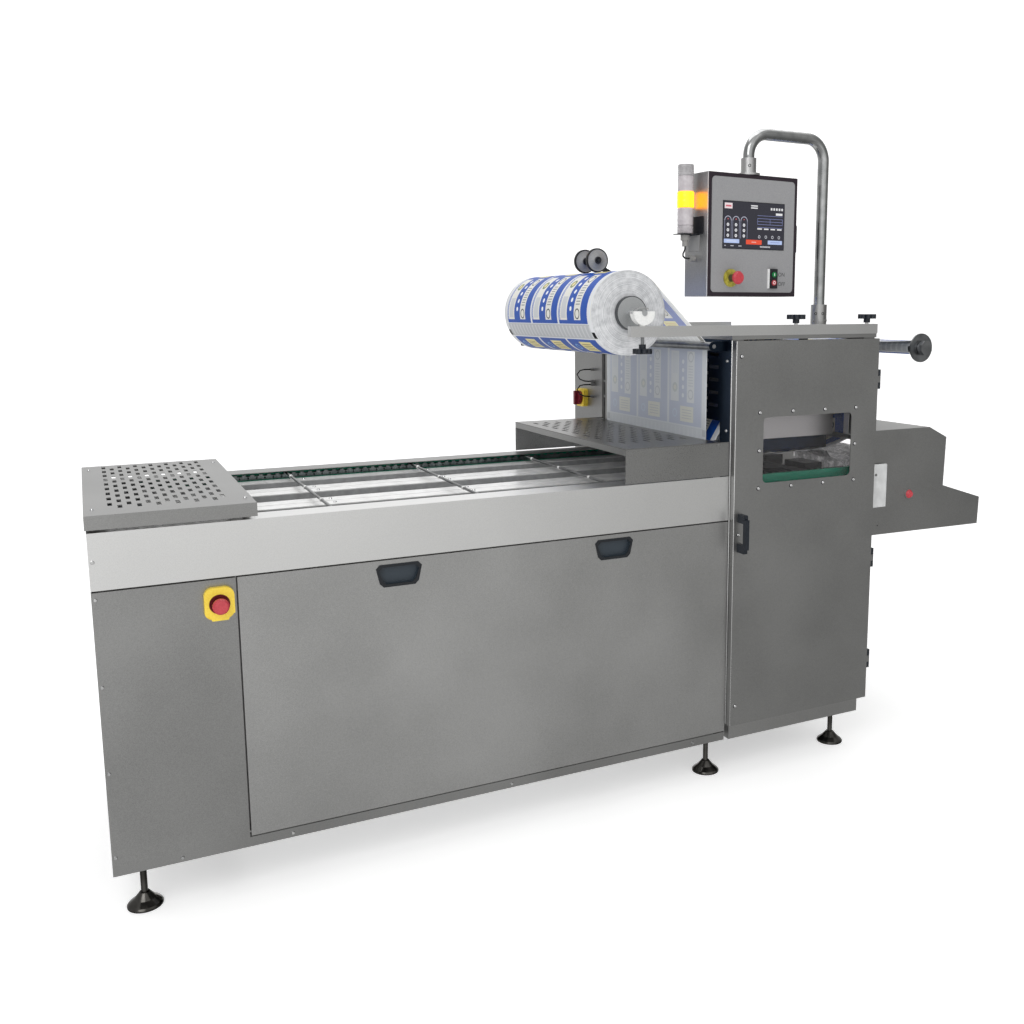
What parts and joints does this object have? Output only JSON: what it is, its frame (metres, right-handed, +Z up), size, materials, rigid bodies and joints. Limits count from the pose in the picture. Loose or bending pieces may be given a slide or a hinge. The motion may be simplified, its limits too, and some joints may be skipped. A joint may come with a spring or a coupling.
{
  "type": "inline tray sealer",
  "caption": "Inline tray sealer with flighted tray conveyor, windowed sealing tower, printed film roll on arm bars and a control box on a swivel mast.",
  "frame": {"origin": "floor point under the middle of the machine's bounding box, midway between infeed and outfeed and between the front door handle and the cabinet latch", "axes": "+X along the machine from infeed to outfeed, +Y to the rear, +Z up"},
  "size_m": [2.749, 1.14, 1.971],
  "materials": {
    "frame_steel": "brushed welded stainless tube",
    "panel_steel": "fine ground stainless sheet",
    "band_steel": "fine ground stainless sheet, bright",
    "tower_steel": "fine ground stainless sheet, dark in shade",
    "bright_steel": "polished stainless",
    "foot_steel": "turned stainless",
    "roller_steel": "turned steel, satin",
    "chain_steel": "dark oiled roller chain",
    "drive_paint": "grey enamel",
    "tool_aluminium": "machined, dark",
    "guide_green": "low friction polyethylene",
    "knob_navy": "moulded nylon, near black",
    "cradle_white": "machined white plastic",
    "pane_clear": "clear polycarbonate",
    "film": "printed lidding film",
    "film_edge": "wound film, side face",
    "cast_box": "grey powder coat",
    "face_grey": "grey membrane",
    "stop_red": "moulded red",
    "shroud_yellow": "moulded yellow",
    "switch_red": "moulded dark red",
    "start_green": "moulded green",
    "lamp_body": "clear and yellow lens",
    "cable_black": "black sheath"
  },
  "bodies": {
    "machine": {"base_frame": "frame_steel", "fascia_band": "band_steel", "body_panels": "panel_steel", "body_screws": "foot_steel", "levelling_feet": "foot_steel", "infeed_cover": "panel_steel", "chain_guides": "guide_green", "conveyor_chains": "chain_steel", "drive_units": "drive_paint", "tray_rails": "bright_steel", "tower_frame": "frame_steel", "tower_skins": "tower_steel", "tower_top_plate": "panel_steel", "electrical_cabinet": "tower_steel", "switch_shrouds": "shroud_yellow", "sensor_leads": "cable_black", "upper_tool": "tool_aluminium", "door_hinges": "knob_navy", "arm_bars": "panel_steel", "roll_cradles": "cradle_white", "film_web": "film", "film_brackets": "frame_steel", "outfeed_hood": "tower_steel", "outfeed_chute": "tower_steel"},
    "front_panel": {"front_panel": "panel_steel", "panel_handles": "knob_navy"},
    "base_stop": {"base_estop": "stop_red"},
    "drive_shaft": {"drive_shaft": "roller_steel"},
    "tail_shaft": {"tail_shaft": "roller_steel"},
    "flights": {"flight_rods": "bright_steel"},
    "guard": {"tunnel_guard": "panel_steel"},
    "lower_tool": {"lower_tool": "tool_aluminium"},
    "tower_door": {"tower_door": "tower_steel", "door_window": "pane_clear", "door_handle": "knob_navy"},
    "cabinet_door": {"cabinet_door": "tower_steel"},
    "main_switch": {"main_switch_handle": "switch_red"},
    "film_roll": {"film_roll": "film_edge", "roll_mandrel": "roller_steel"},
    "idler_upper": {"idler_upper": "roller_steel"},
    "idler_lower": {"idler_lower": "roller_steel"},
    "measuring_arm": {"measuring_arm": "knob_navy"},
    "measuring_wheels": {"measuring_wheels": "roller_steel"},
    "rewinder": {"rewinder_spindle": "roller_steel", "waste_roll": "film_edge"},
    "cradle_knob_front": {"cradle_knob_front": "knob_navy"},
    "cradle_knob_rear": {"cradle_knob_rear": "knob_navy"},
    "bar_knob_left": {"bar_knob_left": "knob_navy"},
    "bar_knob_right": {"bar_knob_right": "knob_navy"},
    "chute_button": {"outfeed_button": "stop_red"},
    "mast": {"mast": "bright_steel"},
    "control_box": {"control_box": "cast_box", "control_face": "face_grey", "signal_lamp": "lamp_body", "box_fittings": "knob_navy", "panel_stop_ring": "shroud_yellow", "lamp_lead": "cable_black"},
    "panel_stop": {"panel_estop": "stop_red"},
    "start_button": {"start_button": "start_green"},
    "stop_button": {"stop_button": "stop_red"}
  },
  "joints": [
    {"name": "tower_door_swing", "type": "hinge", "parent": "machine", "child": "tower_door", "pos_m": [0.8955, -0.519, 0.762], "axis": [0, 0, 1], "range_deg": [0, 110]},
    {"name": "front_panel_tilt", "type": "hinge", "parent": "machine", "child": "front_panel", "pos_m": [-0.357, -0.499, 0.162], "axis": [1, 0, 0], "range_deg": [0, 25]},
    {"name": "guard_swing", "type": "hinge", "parent": "machine", "child": "guard", "pos_m": [0.3005, -0.107, 1.047], "axis": [0, 1, 0], "range_deg": [0, 80]},
    {"name": "film_roll_spin", "type": "hinge", "parent": "machine", "child": "film_roll", "pos_m": [0.0465, -0.107, 1.43], "axis": [0, 1, 0], "continuous": true},
    {"name": "idler_upper_spin", "type": "hinge", "parent": "machine", "child": "idler_upper", "pos_m": [0.3005, -0.107, 1.333], "axis": [0, 1, 0], "continuous": true},
    {"name": "idler_lower_spin", "type": "hinge", "parent": "machine", "child": "idler_lower", "pos_m": [0.3259, -0.107, 1.038], "axis": [0, 1, 0], "continuous": true},
    {"name": "measuring_arm_lift", "type": "hinge", "parent": "machine", "child": "measuring_arm", "pos_m": [0.1405, -0.19, 1.535], "axis": [0, 1, 0], "range_deg": [0, 60]},
    {"name": "measuring_wheel_spin", "type": "hinge", "parent": "measuring_arm", "child": "measuring_wheels", "pos_m": [0.0465, -0.19, 1.5858], "axis": [0, 1, 0], "continuous": true},
    {"name": "drive_shaft_turn", "type": "hinge", "parent": "machine", "child": "drive_shaft", "pos_m": [-1.2815, -0.107, 0.8795], "axis": [0, 1, 0], "range_deg": [0, 453.5]},
    {"name": "tail_shaft_turn", "type": "hinge", "parent": "machine", "child": "tail_shaft", "pos_m": [0.7985, -0.107, 0.8795], "axis": [0, 1, 0], "range_deg": [0, 453.5]},
    {"name": "flight_travel", "type": "slide", "parent": "machine", "child": "flights", "axis": [1, 0, 0], "range_m": [0, 0.4003]},
    {"name": "lower_tool_lift", "type": "slide", "parent": "machine", "child": "lower_tool", "axis": [0, 0, 1], "range_m": [0, 0.076]},
    {"name": "cabinet_door_swing", "type": "hinge", "parent": "machine", "child": "cabinet_door", "pos_m": [0.8865, 0.5513, 0.8775], "axis": [0, 0, 1], "range_deg": [-110, 0]},
    {"name": "main_switch_turn", "type": "hinge", "parent": "machine", "child": "main_switch", "pos_m": [0.3285, 0.4675, 1.113], "axis": [1, 0, 0], "range_deg": [0, 90]},
    {"name": "cradle_knob_front_turn", "type": "hinge", "parent": "machine", "child": "cradle_knob_front", "pos_m": [0.0465, -0.507, 1.33], "axis": [0, 0, 1], "continuous": true},
    {"name": "cradle_knob_rear_turn", "type": "hinge", "parent": "machine", "child": "cradle_knob_rear", "pos_m": [0.0465, 0.293, 1.33], "axis": [0, 0, 1], "continuous": true},
    {"name": "bar_knob_left_turn", "type": "hinge", "parent": "machine", "child": "bar_knob_left", "pos_m": [0.5755, -0.507, 1.41], "axis": [0, 0, 1], "continuous": true},
    {"name": "bar_knob_right_turn", "type": "hinge", "parent": "machine", "child": "bar_knob_right", "pos_m": [0.8505, -0.507, 1.41], "axis": [0, 0, 1], "continuous": true},
    {"name": "rewinder_spin", "type": "hinge", "parent": "machine", "child": "rewinder", "pos_m": [1.1445, -0.107, 1.312], "axis": [0, 1, 0], "continuous": true},
    {"name": "mast_swing", "type": "hinge", "parent": "machine", "child": "mast", "pos_m": [0.7465, -0.401, 1.41], "axis": [0, 0, 1], "range_deg": [-45, 90]},
    {"name": "control_box_turn", "type": "hinge", "parent": "mast", "child": "control_box", "pos_m": [0.45775, -0.4131, 1.855], "axis": [0, 0, 1], "range_deg": [-60, 60]},
    {"name": "base_stop_press", "type": "slide", "parent": "machine", "child": "base_stop", "axis": [0, 1, 0], "range_m": [0, 0.006], "stiffness_N_per_m": 900},
    {"name": "chute_button_press", "type": "slide", "parent": "machine", "child": "chute_button", "axis": [0, 1, 0], "range_m": [0, 0.003], "stiffness_N_per_m": 500},
    {"name": "panel_stop_press", "type": "slide", "parent": "control_box", "child": "panel_stop", "axis": [-0.0958, 0.9954, 0], "range_m": [0, 0.006], "stiffness_N_per_m": 900},
    {"name": "start_press", "type": "slide", "parent": "control_box", "child": "start_button", "axis": [-0.0958, 0.9954, 0], "range_m": [0, 0.003], "stiffness_N_per_m": 500},
    {"name": "stop_press", "type": "slide", "parent": "control_box", "child": "stop_button", "axis": [-0.0958, 0.9954, 0], "range_m": [0, 0.003], "stiffness_N_per_m": 500}
  ],
  "couplings": [
    {"joint": "idler_upper_spin", "follows": "film_roll_spin", "ratio": 10},
    {"joint": "idler_lower_spin", "follows": "film_roll_spin", "ratio": -10},
    {"joint": "measuring_wheel_spin", "follows": "film_roll_spin", "ratio": -3.3803},
    {"joint": "tail_shaft_turn", "follows": "drive_shaft_turn", "ratio": 1},
    {"joint": "flight_travel", "follows": "drive_shaft_turn", "m_per_rad": 0.0505}
  ]
}
